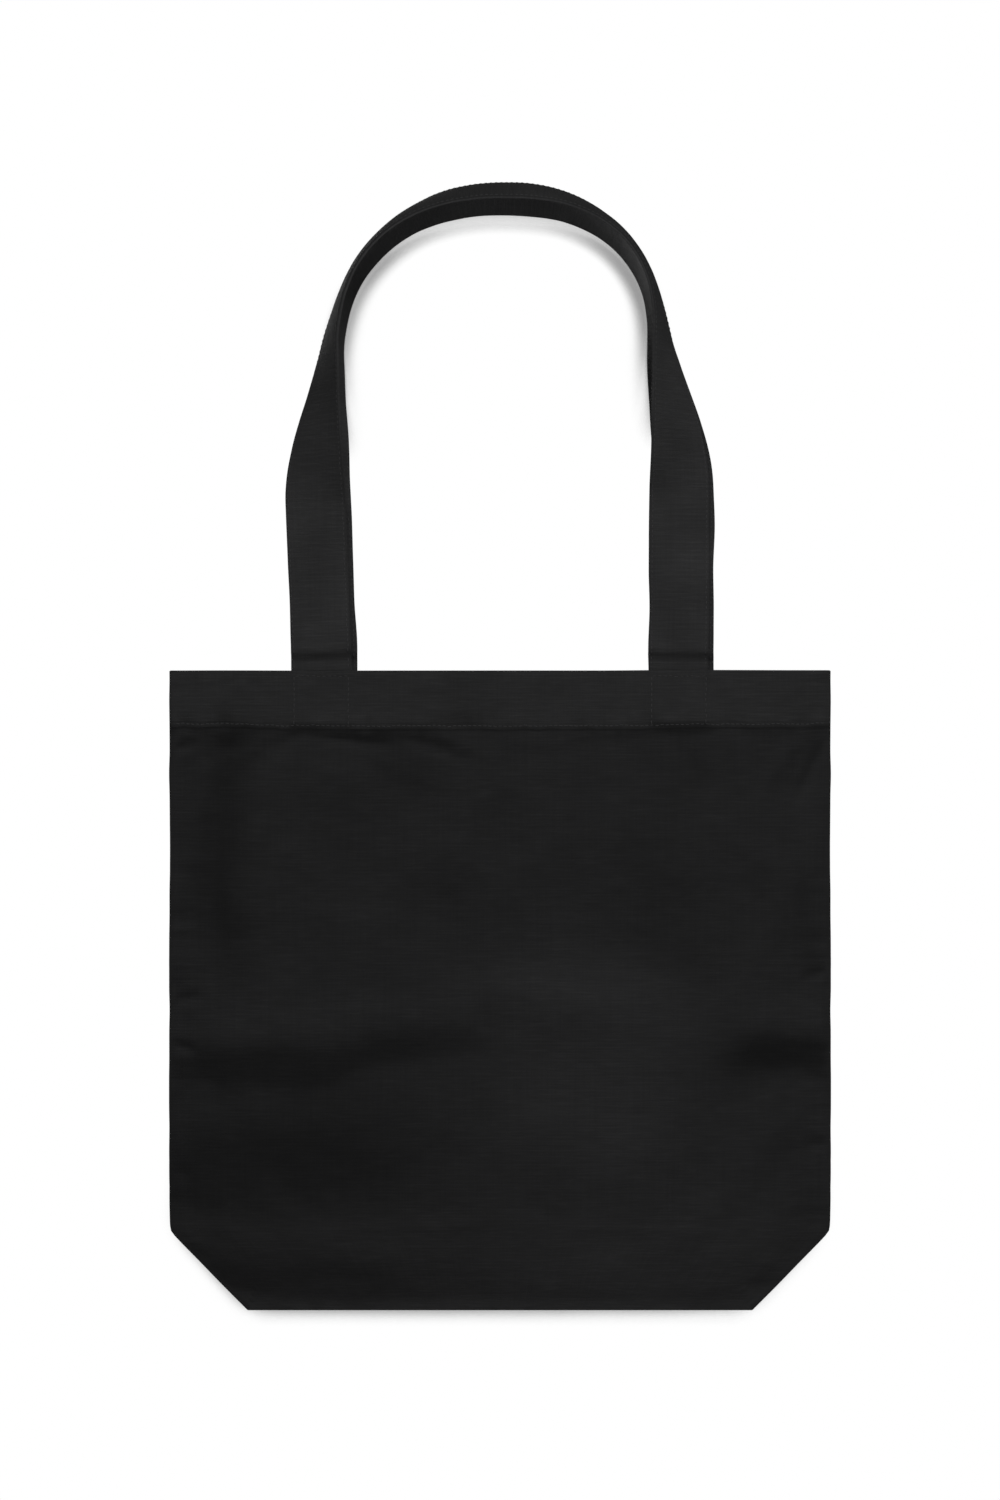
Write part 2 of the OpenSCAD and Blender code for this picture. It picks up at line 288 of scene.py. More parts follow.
# Patches of painted shade (-) and painted light (+) on each panel: the same places and sizes, then how much
FRONT_PAINTED_SHADING = (
    (-140, 306, 14, 190, 96, -0.50), (-110, 384, 2, 210, 36, -0.42), (52, 206, -6, 130, 52, 0.46),
    (66, 286, -60, 140, 84, 0.34), (0, 403, 0, 800, 22, 0.44), (-120, 205, 0, 120, 40, 0.10),
    (-150, 242, 2, 140, 36, -0.18), (-60, 232, 4, 120, 34, -0.12), (186, 242, 0, 100, 40, -0.20),
    (-178, 112, 84, 160, 36, -0.34), (-88, 42, 2, 52, 13, -0.32), (-56, 54, -24, 60, 15, -0.24),
    (150, 330, 60, 130, 50, 0.08), (-190, 322, 0, 60, 90, -0.14), (-184, 350, -6, 60, 22, 0.30),
)
BACK_PAINTED_SHADING = (
    (130, 312, -14, 190, 96, -0.28), (60, 382, -4, 170, 34, -0.20), (-70, 208, 6, 130, 52, 0.30),
    (-60, 290, 50, 150, 80, 0.16), (0, 400, 0, 800, 26, 0.36), (110, 244, -2, 150, 24, -0.18),
    (180, 110, -84, 140, 26, -0.18),
)


def fold_field(x, z, folds):
    """How far the listed folds push a point out of the panel."""
    out = np.zeros_like(x)
    for place, below, turn, length, width, height in folds:
        a = math.radians(turn)
        dx, dz = x - place * MM, z - (RIM_Z - below * MM)
        along = (dx * math.cos(a) + dz * math.sin(a)) / (length * MM / 2)
        across = (-dx * math.sin(a) + dz * math.cos(a)) / (width * MM / 2)
        bend = 0.25 * along**2
        out += height * MM * np.exp(-np.abs(along) ** 3) * np.exp(-((across + bend) ** 2))
    return out


def strap_ends(side):
    """Middles of the two strap ends of one handle."""
    shift = REAR_SHIFT if side == BACK else 0
    return [shift - STRAP_PITCH / 2, shift + STRAP_PITCH / 2]


def stitch_row_z():
    """Height of the row of stitches that holds the hem."""
    return HEM_Z + bpy.context.scene.tote_sizes.inset


def drape(side):
    """Lets one panel hang as cloth from its hem and seams, and returns how far it buckled.

    The result is a grid of movements, with its places across the panel and up it."""
    columns, rows = 64, 60
    bpy.ops.object.select_all(action="DESELECT")
    bpy.ops.mesh.primitive_grid_add(x_subdivisions=columns, y_subdivisions=rows, size=1)
    cloth = bpy.context.object
    cloth.name = NAMES[side] + "_drape"
    co = vertices_of(cloth)
    u, v = co[:, 0] * 2, co[:, 1] + 0.5
    z = BOTTOM_Z + v * (HEM_Z - BOTTOM_Z)
    x = u * half_width(z)
    ripple = 1.2 * MM * noise(x, z, 45 * MM, 45 * MM, 70 + side)
    inside = smooth(from_outline(x, z) / (30 * MM)) * smooth((HEM_Z - z) / (25 * MM))
    start = np.stack([x, side * (depth_at(x, z) + ripple * inside), z], 1)
    cloth.data.vertices.foreach_set("co", start.ravel())
    held = cloth.vertex_groups.new(name="sewn")
    edge = np.flatnonzero((np.abs(u) > 0.999) | (v < 0.001) | (v > 0.999))
    held.add([int(i) for i in edge], 1.0, "REPLACE")
    cloth.modifiers.new("hang", "CLOTH")
    settings = cloth.modifiers["hang"].settings
    settings.quality = 6
    settings.mass = 0.35
    settings.tension_stiffness = 40
    settings.compression_stiffness = 40
    settings.shear_stiffness = 12
    settings.bending_stiffness = 1.2
    settings.vertex_group_mass = "sewn"
    settings.shrink_min = -0.022
    settings.shrink_max = -0.022
    bpy.context.scene.frame_set(1)
    for number in range(1, 26):
        bpy.context.scene.frame_set(number)
    shaped = cloth.evaluated_get(bpy.context.evaluated_depsgraph_get())
    moved = np.array([p.co for p in shaped.data.vertices])
    bpy.context.scene.frame_set(1)
    bpy.data.objects.remove(cloth)
    push = (moved[:, 1] - start[:, 1]) * side
    push = 2 * MM * np.tanh(push / (5 * MM))
    order = np.lexsort((co[:, 0], co[:, 1]))
    push = push[order].reshape(rows + 1, columns + 1)
    for again in range(4):
        inner = push[1:-1, 1:-1]
        near = push[:-2, 1:-1] + push[2:, 1:-1] + push[1:-1, :-2] + push[1:-1, 2:]
        push[1:-1, 1:-1] = 0.4 * inner + 0.15 * near
    return push


def sample_grid(field, u, v):
    """Reads a drape's grid smoothly at u across, from -1 to 1, and v up, from 0 to 1."""
    rows, columns = field.shape
    a = np.clip((u + 1) / 2, 0, 1) * (columns - 1)
    b = np.clip(v, 0, 1) * (rows - 1)
    i, j = np.minimum(a.astype(int), columns - 2), np.minimum(b.astype(int), rows - 2)
    s, t = smooth(a - i), smooth(b - j)
    low = field[j, i] * (1 - s) + field[j, i + 1] * s
    high = field[j + 1, i] * (1 - s) + field[j + 1, i + 1] * s
    return low * (1 - t) + high * t


class Canvas:
    """The shape of one panel's outer face: where each point of the cloth lies."""

    def __init__(self, side):
        self.side = side
        self.seed = 11 if side == FRONT else 29
        self.folds = FRONT_FOLDS if side == FRONT else BACK_FOLDS
        self.patches = FRONT_PAINTED_SHADING if side == FRONT else BACK_PAINTED_SHADING
        self.hung = drape(side)

    def relief(self, x, z):
        """How far the cloth stands out of its plain shape."""
        e = from_outline(x, z)
        below = smooth((HEM_Z - z) / (14 * MM))
        inside = smooth(e / (16 * MM))
        v = (z - BOTTOM_Z) / (HEM_Z - BOTTOM_Z)
        calm = 0.35 + 0.65 * below
        out = sample_grid(self.hung, x / half_width(z), v) * inside * below
        out += fold_field(x, z, self.folds) * smooth(e / (7 * MM)) * (0.25 + 0.75 * below)
        out += 1.3 * MM * noise(x, z, 95 * MM, 80 * MM, self.seed) * inside * calm
        out += 0.5 * MM * noise(x, z, 34 * MM, 26 * MM, self.seed + 1) * inside * calm
        out += 0.16 * MM * noise(x, z, 11 * MM, 8 * MM, self.seed + 2) * inside
        out += 0.05 * MM * noise(x, z, 5 * MM, 3.6 * MM, self.seed + 3) * inside
        out += self.seam_puckers(x, z, e)
        out += self.hem_relief(x, z)
        return out

    def seam_puckers(self, x, z, e):
        """Short ripples that run in from the side, corner and bottom seams."""
        along = np.where(e < z - BOTTOM_Z - 0.1 * MM, z, x)
        strength = 0.5 + 0.5 * noise(along, 0 * z, 40 * MM, 1, self.seed + 4)
        wave = noise(along, np.abs(x) * 0.2, 9 * MM, 30 * MM, self.seed + 5)
        wave += 0.5 * noise(along, x, 4.5 * MM, 40 * MM, self.seed + 6)
        reach = smooth(e / (2.5 * MM)) * bump(e, 20 * MM)
        return 0.75 * MM * strength * wave * reach

    def hem_relief(self, x, z):
        """The doubled hem stands proud; its row of stitches pulls the cloth in and puckers it."""
        row = stitch_row_z()
        edge = smooth((z - HEM_Z + 0.4 * MM) / (0.9 * MM))
        out = 0.7 * MM * (edge - 1)
        tight = 0.6 + 0.4 * noise(x, 0 * x, 26 * MM, 1, self.seed + 7)
        out -= 0.45 * MM * bump(z - row, 0.9 * MM) * tight
        stitch = bpy.context.scene.tote_sizes.stitch
        ripple = noise(x, z, 2.6 * stitch, 30 * MM, self.seed + 8)
        ripple += 0.6 * noise(x, z, 1.3 * stitch, 20 * MM, self.seed + 9)
        out += 0.80 * MM * tight * ripple * bump(z - row, 5 * MM)
        out += 0.22 * MM * noise(x, z, 30 * MM, 60 * MM, self.seed + 10) * edge
        for middle in strap_ends(self.side):
            over = np.abs(x - middle)
            flat = smooth((STRAP_W / 2 + 1.2 * MM - over) / (2.2 * MM))
            out += 0.5 * MM * flat * smooth((z - HEM_Z) / (3 * MM))
            line = np.abs(over - (STRAP_W / 2 - bpy.context.scene.tote_sizes.inset))
            out -= 0.35 * MM * bump(line, 0.9 * MM) * edge
            dip = bump(z - HEM_Z + 5 * MM, 5 * MM) * smooth((STRAP_W / 2 + 6 * MM - over) / (9 * MM))
            out -= 0.7 * MM * dip
        return out

    def painted_shading(self, x, z):
        """Painted shading: painted shade where folds lean down and painted light where they lean up, plus the
        listed patches of painted shade and light.
        """
        step = 1.2 * MM
        high, low = np.minimum(z + step, RIM_Z), z - step
        lean = 1.7 * (self.relief(x, high) - self.relief(x, low)) / (high - low)
        lean = np.where(lean > 0, lean, 0.5 * lean)
        return 0.5 - 0.5 * np.tanh(2 * lean) + fold_field(x, z, self.patches) / MM

    def edge_wave(self, z):
        """How far the side edges wander in from a straight line."""
        wave = 0.7 * noise(z, 0 * z, 60 * MM, 1, self.seed + 12)
        wave += 0.5 * noise(z, 0 * z, 15 * MM, 1, self.seed + 13)
        return MM * (0.6 + 0.5 * wave)

    def hem_wave(self, x):
        """How far the hem's lower edge and its stitches sag in the middle and wander."""
        wave = 0.50 * noise(x, 0 * x, 24 * MM, 1, self.seed + 14)
        wave += 0.42 * noise(x, 0 * x, 8 * MM, 1, self.seed + 15)
        return MM * (wave - 1.7 * (1 - (x / HALF_W) ** 2))

    def outer(self, x, z):
        """Distance of the outer face from the middle of the bag."""
        sizes = bpy.context.scene.tote_sizes
        e = from_outline(x, z)
        plain = depth_at(x, z) + self.relief(x, z)
        turn = 1.5 * MM
        arc = np.sqrt(np.maximum(0, turn**2 - np.maximum(0, turn - e) ** 2))
        rounded = 0.35 * MM + arc / turn * (sizes.edge - 0.35 * MM)
        return np.where(e < turn, np.minimum(plain, rounded), np.maximum(plain, sizes.edge * 0.9))

    def place(self, x, z, sunk=0.0):
        """Points on the outer face, or sunk below it by some distance."""
        shift = self.edge_wave(z) * smooth((np.abs(x) - 0.8 * HALF_W) / (0.2 * HALF_W))
        least = bpy.context.scene.tote_sizes.cloth / 2 + 0.1 * MM if sunk else 0.0
        depth = np.maximum(self.outer(x, z) - sunk, least)
        level = z + self.hem_wave(x) * bump(z - HEM_Z, 8 * MM)
        return np.stack([x - np.sign(x) * shift, self.side * depth, level], -1)


def panel_lines(sizes):
    """Places across a panel, from -1 to 1, and the heights of its rows, close together at edges."""
    near = np.array([0.0, 0.25, 0.6, 1.1, 1.8, 2.8]) * MM
    left = -1 + near / HALF_W
    middle = np.linspace(left[-1], -left[-1], sizes.columns - 2 * (len(near) - 1) + 1)[1:-1]
    across = np.concatenate([left, middle, -left[::-1]])
    low = BOTTOM_Z + near
    hem_low = HEM_Z - 9 * MM
    body = np.linspace(low[-1], hem_low, sizes.rows)[1:]
    fine = np.linspace(hem_low, HEM_Z + 5 * MM, 15)[1:]
    hem = np.linspace(fine[-1], RIM_Z - 0.6 * MM, 13)[1:]
    return across, np.concatenate([low, body, fine, hem])


CANVASES = {}


def canvas_for(side):
    """The shape of one panel, worked out once."""
    if side not in CANVASES:
        CANVASES[side] = Canvas(side)
    return CANVASES[side]


def sew_panel(side):
    """One sheet of canvas: up the outside, over the rim and down again as the turned-in hem."""
    sizes = bpy.context.scene.tote_sizes
    canvas = canvas_for(side)
    across, heights = panel_lines(sizes)
    half = sizes.cloth / 2
    fold = half + 0.15 * MM
    # Each row also gets its painted shading: painted shade and light from the folds and patches outside, the
    # rim repeating the last row, and neutral on the turned-in hem.
    rows, lengths, shading_rows = [], [], []
    for z in heights:
        x = across * half_width(z)
        level = np.full_like(x, z)
        rows.append(canvas.place(x, level, half))
        lengths.append(z - BOTTOM_Z)
        shading_rows.append(canvas.painted_shading(x, level))
    top = heights[-1]
    x = across * HALF_W
    level = np.full_like(x, top)
    base = canvas.place(x, level, half)
    inward = 1 - smooth((np.abs(x) - HALF_W + 9 * MM) / (8 * MM))
    rise = 0.36 * MM + 0.6 * half
    wander = 0.35 * MM * noise(x, 0 * x, 60 * MM, 1, canvas.seed + 20)
    for angle in (30, 60, 90, 120, 150):
        a = math.radians(angle)
        ring = base.copy()
        ring[:, 1] -= side * fold * (1 - math.cos(a)) * np.maximum(inward, 0.25)
        ring[:, 2] += (rise + wander) * math.sin(a)
        rows.append(ring)
        lengths.append(lengths[-1] + 0.25 * MM)
        shading_rows.append(shading_rows[-1])
    for z in np.linspace(top, HEM_Z, 14):
        rows.append(canvas.place(x * 0.985, np.full_like(x, z), half + 2 * fold))
        lengths.append(lengths[-1] + (RIM_Z - HEM_Z) / 14)
        shading_rows.append(np.full_like(x, 0.5))
    points = np.concatenate(rows)
    columns = len(across)
    uvs = np.stack([
        np.concatenate([across * HALF_W] * len(rows)),
        np.repeat(lengths, columns)], 1)
    faces = grid_faces(len(rows), columns, flip=side == BACK)
    piece = mesh_piece(NAMES[side] + "_canvas", points, faces, uvs)
    set_painted_shading(piece, np.concatenate(shading_rows))
    thick = piece.modifiers.new("thickness", "SOLIDIFY")
    thick.thickness = sizes.cloth
    thick.offset = 0
    apply_modifiers(piece)
    recalculate_outside(piece)
    colours = bpy.context.scene.tote_colours
    piece.data.materials.append(weave_material("Canvas", colours.canvas, *PANEL_WEAVE))
    piece.data.materials.append(hem_canvas())
    centres = np.zeros(3 * len(piece.data.polygons))
    piece.data.polygons.foreach_get("center", centres)
    centres = centres.reshape(-1, 3)
    doubled = centres[:, 2] > HEM_Z + canvas.hem_wave(centres[:, 0])
    piece.data.polygons.foreach_set("material_index", doubled.astype(np.int32))
    follow_panel(piece)
    name = NAMES[side]
    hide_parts(name + "_panel", name + "_hem_fold")
    return piece


# ---------------------------------------------------------------- straps


def round_power(v):
    """Squares a circle's sine or cosine off a little, for an arch with fuller shoulders."""
    return math.copysign(abs(v) ** 0.85, v)


# Heights, in millimetres from the top of a leg, where the strap starts and ends its turn
TURN_LEFT = (-100, 36)
TURN_RIGHT = (-92, 48)


class Strap:
    """The line and turn of one handle, from one sewn end up over the crown to the other."""

    def __init__(self, side):
        self.side = side
        self.sizes = bpy.context.scene.tote_sizes
        self.shift = REAR_SHIFT if side == BACK else 0.0
        self.drop = -RIM_Z
        self.leg = self.drop - self.sizes.arch_rise
        self.inner_x = (STRAP_PITCH - STRAP_W) / 2
        self.tail = RIM_Z - TAIL_BOTTOM
        self.seed = 41 if side == FRONT else 57
        self.measure()

    def inner_edge(self, t):
        """The inner edge as (x, height above the rim); t runs from -1 at the left end to 1."""
        sizes = self.sizes
        sign = math.copysign(1, t)
        leg_share = 0.5
        if abs(t) > leg_share:
            h = self.leg - (abs(t) - leg_share) / (1 - leg_share) * (self.leg + self.tail)
            spread = max(h, 0) / self.leg * (sizes.arch_flare - sign * sizes.arch_lean)
            return np.array([sign * (self.inner_x + spread), h])
        a = math.pi / 2 * (1 - t / leg_share)
        lift = round_power(math.sin(a))
        x = (self.inner_x + sizes.arch_flare) * round_power(math.cos(a))
        return np.array([x + sizes.arch_lean * (2 * lift - 1), self.leg + sizes.arch_rise * lift])

    def turned(self, t, h):
        """How far the strap has turned edge-on: 0 on its legs and 1 on the arch."""
        low, high = TURN_LEFT if t < 0 else TURN_RIGHT
        return float(smooth((h - self.leg - low * MM) / ((high - low) * MM)))

    def edges(self, t):
        """Inner and outer edge points of the strap's middle layer."""
        step = 0.004
        p = self.inner_edge(t)
        d = self.inner_edge(min(1, t + step)) - self.inner_edge(max(-1, t - step))
        d = d / np.linalg.norm(d)
        turn = self.turned(t, p[1])
        arch = math.sin(math.pi * min(1, max(0, t + 0.5))) ** 5
        shown = self.sizes.waist + (self.sizes.crown - self.sizes.waist) * arch
        shown = STRAP_W + (shown - STRAP_W) * turn
        rear = -abs(TAIL_Y) + (abs(TAIL_Y) - 1.0 * MM) * turn
        lean = -math.sqrt(max(0, STRAP_W**2 - shown**2))
        inner = np.array([p[0], rear + lean, RIM_Z + p[1]])
        outer = np.array([p[0] - d[1] * shown, rear, RIM_Z + p[1] + d[0] * shown])
        for point in (inner, outer):
            point[0] += self.shift * float(1 - smooth((p[1] - self.leg + 110 * MM) / (120 * MM)))
            point[1] *= -self.side
        return inner, outer

    def measure(self):
        """Stations at even lengths along the strap."""
        fine = np.linspace(-1, 1, 1601)
        pairs = np.array([self.edges(t) for t in fine])
        middle = pairs.mean(1)
        run = np.concatenate([[0], np.cumsum(np.linalg.norm(np.diff(middle, axis=0), axis=1))])
        self.length = run[-1]
        count = 2 * int(self.length / (2.4 * MM) / 2)
        self.at = np.linspace(0, self.length, count + 1)
        self.inner = np.stack([np.interp(self.at, run, pairs[:, 0, k]) for k in range(3)], 1)
        self.outer = np.stack([np.interp(self.at, run, pairs[:, 1, k]) for k in range(3)], 1)
        kernel = np.array([1, 2, 3, 2, 1]) / 9
        for line in (self.inner, self.outer):
            for k in range(3):
                padded = np.concatenate([[line[0, k]] * 2, line[:, k], [line[-1, k]] * 2])
                padded[:2] = 2 * line[0, k] - line[2:0:-1, k]
                padded[-2:] = 2 * line[-1, k] - line[-2:-4:-1, k]
                line[:, k] = np.convolve(padded, kernel, "valid")
        middle = (self.inner + self.outer) / 2
        self.along = np.gradient(middle, axis=0)
        self.along /= np.linalg.norm(self.along, axis=1)[:, None]
        self.across = self.outer - self.inner
        self.across /= np.linalg.norm(self.across, axis=1)[:, None]
        self.normal = np.cross(self.along, self.across)
        self.normal /= np.linalg.norm(self.normal, axis=1)[:, None]
        if self.normal[0, 1] * self.side < 0:
            self.normal *= -1
        self.middle = middle

    def crease_at(self, s, a):
        """Height above the crease that runs across the strap just over the rim."""
        return self.rim_height(s) - 9.5 * MM - 0.8 * MM * noise(a, 0 * a, 9 * MM, 1, self.seed + 2)

    def relief(self, s, a):
        """Unevenness of the strap: the crease over the rim, its cup on the arch and small waves."""
        h = self.rim_height(s)
        arch = smooth((h - self.leg + 40 * MM) / (80 * MM))
        cup = 1.6 * MM * arch * (1 - (2 * a / STRAP_W) ** 2)
        line = self.crease_at(s, a)
        crease = -1.5 * MM * bump(line, 1.5 * MM) + 0.7 * MM * bump(line - 3.6 * MM, 2.6 * MM)
        waves = 0.28 * MM * noise(s, a, 26 * MM, 20 * MM, self.seed)
        waves += 0.12 * MM * noise(s, a, 9 * MM, 12 * MM, self.seed + 1)
        return (cup + crease + waves) * smooth((h + 1 * MM) / (6 * MM))

    def rim_height(self, s):
        """Height above the rim of a place along the strap."""
        return np.interp(s, self.at, self.middle[:, 2]) - RIM_Z

    def normal_at(self, s):
        """Which way the outer face looks at a place along the strap."""
        return np.stack([np.interp(s, self.at, self.normal[:, k]) for k in range(3)], 1)

    def section(self, s, a, b):
        """A point s along the strap, a across it (outwards) and b through it (outer face up)."""
        i = s / self.length * (len(self.at) - 1)
        low = np.clip(np.floor(i).astype(int), 0, len(self.at) - 2)
        t = (i - low)[:, None]
        middle, across, normal = (
            line[low] * (1 - t) + line[low + 1] * t for line in (self.middle, self.across, self.normal))
        return middle + across * a[:, None] + normal * (b + self.relief(s, a))[:, None]


STRAPS = {}


def strap_for(side):
    """The shape of one handle, worked out once."""
    if side not in STRAPS:
        STRAPS[side] = Strap(side)
    return STRAPS[side]


def strap_outline():
    """Cross-section of a strap folded from canvas: rounded edges, sewn down in two channels."""
    sizes = bpy.context.scene.tote_sizes
    reach, half = STRAP_W / 2, STRAP_T / 2
    across = reach - half * 0.9
    flat = np.linspace(-across, across, 19)
    face = np.stack([flat, np.full_like(flat, half)], 1)
    channel = reach - sizes.inset
    sink = 0.32 * MM * bump(np.abs(flat) - channel, 0.8 * MM)
    face[:, 1] -= sink
    turn = np.radians([60, 30, 0, -30, -60])
    end = np.stack([across + half * 0.9 * np.cos(turn), half * np.sin(turn) * 0.95], 1)
    return np.concatenate([face, end, face[::-1] * [1, -1], end * [-1, -1]])


def sew_strap(side):
    """One handle of folded canvas, from one end sewn inside the hem over to the other."""
    strap = strap_for(side)
    outline = strap_outline()
    count, around = len(strap.at), len(outline)
    s = np.repeat(strap.at, around)
    a = np.tile(outline[:, 0], count)
    b = np.tile(outline[:, 1], count)
    a = a + np.sign(a) * 0.45 * MM * noise(s, np.sign(a), 26 * MM, 1, strap.seed + 5)
    points = strap.section(s, a, b)
    faces = grid_faces(count, around, loop=True)
    last = (count - 1) * around
    faces.append(list(range(around))[::-1])
    faces.append([last + k for k in range(around)])
    round_run = np.concatenate([[0], np.cumsum(np.linalg.norm(np.diff(outline, axis=0), axis=1))])
    uvs = np.stack([np.tile(round_run, count), s], 1)
    piece = mesh_piece(NAMES[side] + "_strap", points, faces, uvs)
    # Painted shading of the strap: painted shade on the outer face and painted light on the inner face over
    # the arch, random tone, and painted shade along the crease over the rim.
    arch = smooth((strap.rim_height(s) - strap.leg + 20 * MM) / (90 * MM))
    shade = 0.5 + arch * np.where(b > 0, -0.46, 0.50)
    shade += 0.16 * noise(s, a, 24 * MM, 22 * MM, strap.seed + 6)
    shade -= 0.8 * bump(strap.crease_at(s, a), 2.5 * MM)
    set_painted_shading(piece, shade)
    recalculate_outside(piece)
    piece.data.materials.append(
        weave_material("Strap canvas", bpy.context.scene.tote_colours.strap, *STRAP_WEAVE))
    follow_handle(piece)
    name = NAMES[side]
    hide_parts(name + "_handle", name + "_strap_tail_left", name + "_strap_tail_right")
    return piece


# ---------------------------------------------------------------- sewing thread


# Share of a stitch's length that its thread shows before it dives into the cloth
STITCH_SHARE = 0.74


def stitch_shape(length, thickness):
    """One stitch, lying along x with z up: a bowed thread whose ends dive into the cloth."""
    sizes = ((-0.50, -0.75, 0.55), (-0.40, 0.05, 0.9), (-0.18, 0.42, 1.0),
             (0.18, 0.42, 1.0), (0.40, 0.05, 0.9), (0.50, -0.75, 0.55))
    around = 6
    rings = []
    for along, up, girth in sizes:
        turn = np.arange(around) / around * 2 * math.pi
        y = np.cos(turn) * thickness / 2 * girth
        z = np.sin(turn) * thickness / 2 * girth * 0.9 + up * thickness
        rings.append(np.stack([np.full(around, along * length), y, z], 1))
    faces = grid_faces(len(sizes), around, loop=True, flip=True)
    last = (len(sizes) - 1) * around
    faces.append(list(range(around)))
    faces.append([last + k for k in range(around)][::-1])
    return np.concatenate(rings), faces


def wrap_shape(reach, height, thickness):
    """One turn of overlocking thread round the edge of a seam: a flat ring across it."""
    around, steps = 5, 12
    points = []
    for k in range(steps):
        a = 2 * math.pi * k / steps
        c, s = math.cos(a), math.sin(a)
        y = math.copysign(abs(c) ** 0.5, c) * reach / 2
        z = math.copysign(abs(s) ** 0.5, s) * height / 2
        out = np.array([0, c, s])
        for m in range(around):
            b = 2 * math.pi * m / around
            ring = np.array([0, y, z]) + out * math.cos(b) * thickness / 2
            ring[0] += math.sin(b) * thickness / 2 + 0.35 * c * reach
            points.append(ring)
    r, m = np.arange(steps)[:, None], np.arange(around)[None, :]
    r2, m2 = (r + 1) % steps, (m + 1) % around
    quad = [r * around + m, r * around + m2, r2 * around + m2, r2 * around + m]
    return np.array(points), np.stack([q + 0 * r for q in quad], -1).reshape(-1, 4).tolist()


def copies(name, shape, places, along, up, material, jitter=0.0, seed=1):
    """Copies one thread shape to many places, each turned along the row with its top up."""
    points, faces = shape
    along = along / np.linalg.norm(along, axis=1)[:, None]
    sideways = np.cross(up, along)
    sideways /= np.linalg.norm(sideways, axis=1)[:, None]
    top = np.cross(along, sideways)
    random = np.random.default_rng(seed)
    lean = random.uniform(-jitter, jitter, len(places))[:, None]
    along = along + sideways * lean
    places = places + sideways * random.normal(0, 0.15 * MM, len(places))[:, None]
    stretch = 1 + random.uniform(-0.06, 0.06, len(places))
    placed = (places[:, None, :] + points[None, :, :1] * stretch[:, None, None] * along[:, None, :]
              + points[None, :, 1:2] * sideways[:, None, :] + points[None, :, 2:3] * top[:, None, :])
    every = []
    for k in range(len(places)):
        every.extend([[i + k * len(points) for i in face] for face in faces])
    shifts = np.repeat(np.arange(len(places)) * 3.7 * MM, len(points))
    girth = np.arctan2(points[:, 1], points[:, 2]) * 0.25 * MM
    uvs = np.stack([np.tile(points[:, 0], len(places)) + shifts, np.tile(girth, len(places))], 1)
    piece = mesh_piece(name, placed.reshape(-1, 3), every, uvs)
    recalculate_outside(piece)
    piece.data.materials.append(material)
    return piece


def thread():
    """The material of all the sewing thread."""
    return thread_material("Thread", bpy.context.scene.tote_colours.thread)


def canvas_row(canvas, x, z):
    """Places, directions and outward normals for stitches at x, z on a panel, in order."""
    step = 0.6 * MM
    here = canvas.place(x, z)
    right = canvas.place(x + step, z) - canvas.place(x - step, z)
    above = canvas.place(x, z + step) - canvas.place(x, z - step)
    normal = np.cross(right, above)
    normal *= np.sign(normal[:, 1:2]) * canvas.side
    return here, right, above, normal / np.linalg.norm(normal, axis=1)[:, None]


def sew_hem_row(side):
    """The long row of stitches that holds the hem, right across the panel."""
    sizes = bpy.context.scene.tote_sizes
    canvas = canvas_for(side)
    count = int((2 * HALF_W - 5 * MM) / sizes.stitch)
    x = (np.arange(count) - (count - 1) / 2) * sizes.stitch
    z = np.full_like(x, stitch_row_z())
    here, right, above, normal = canvas_row(canvas, x, z)
    shape = stitch_shape(sizes.stitch * STITCH_SHARE, sizes.thread)
    piece = copies(NAMES[side] + "_hem_thread", shape, here, right, normal, thread(), 0.16, canvas.seed)
    follow_panel(piece)
    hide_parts(NAMES[side] + "_hem_stitches")


def sew_box(side, hand):
    """The box of stitches that fastens one strap end: two columns and a row across the top."""
    sizes = bpy.context.scene.tote_sizes
    canvas = canvas_for(side)
    middle = strap_ends(side)[0 if hand == "left" else 1]
    reach = STRAP_W / 2 - sizes.inset
    low, high = stitch_row_z(), RIM_Z - 3.4 * MM
    count = int((high - low) / sizes.stitch)
    z = low + (np.arange(count) + 0.5) * (high - low) / count
    across = int(2 * reach / sizes.stitch)
    row = (np.arange(across) - (across - 1) / 2) * 2 * reach / across
    x = np.concatenate([np.full(count, middle - reach), np.full(count, middle + reach), middle + row])
    z = np.concatenate([z, z, np.full(across, high)])
    here, right, above, normal = canvas_row(canvas, x, z)
    upright = np.arange(len(x)) < 2 * count
    along = np.where(upright[:, None], above, right)
    shape = stitch_shape(sizes.stitch * STITCH_SHARE, sizes.thread)
    name = NAMES[side] + "_box_thread_" + hand
    piece = copies(name, shape, here, along, normal, thread(), 0.05, canvas.seed + 3)
    follow_panel(piece)
    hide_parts(NAMES[side] + "_box_stitches_" + hand)


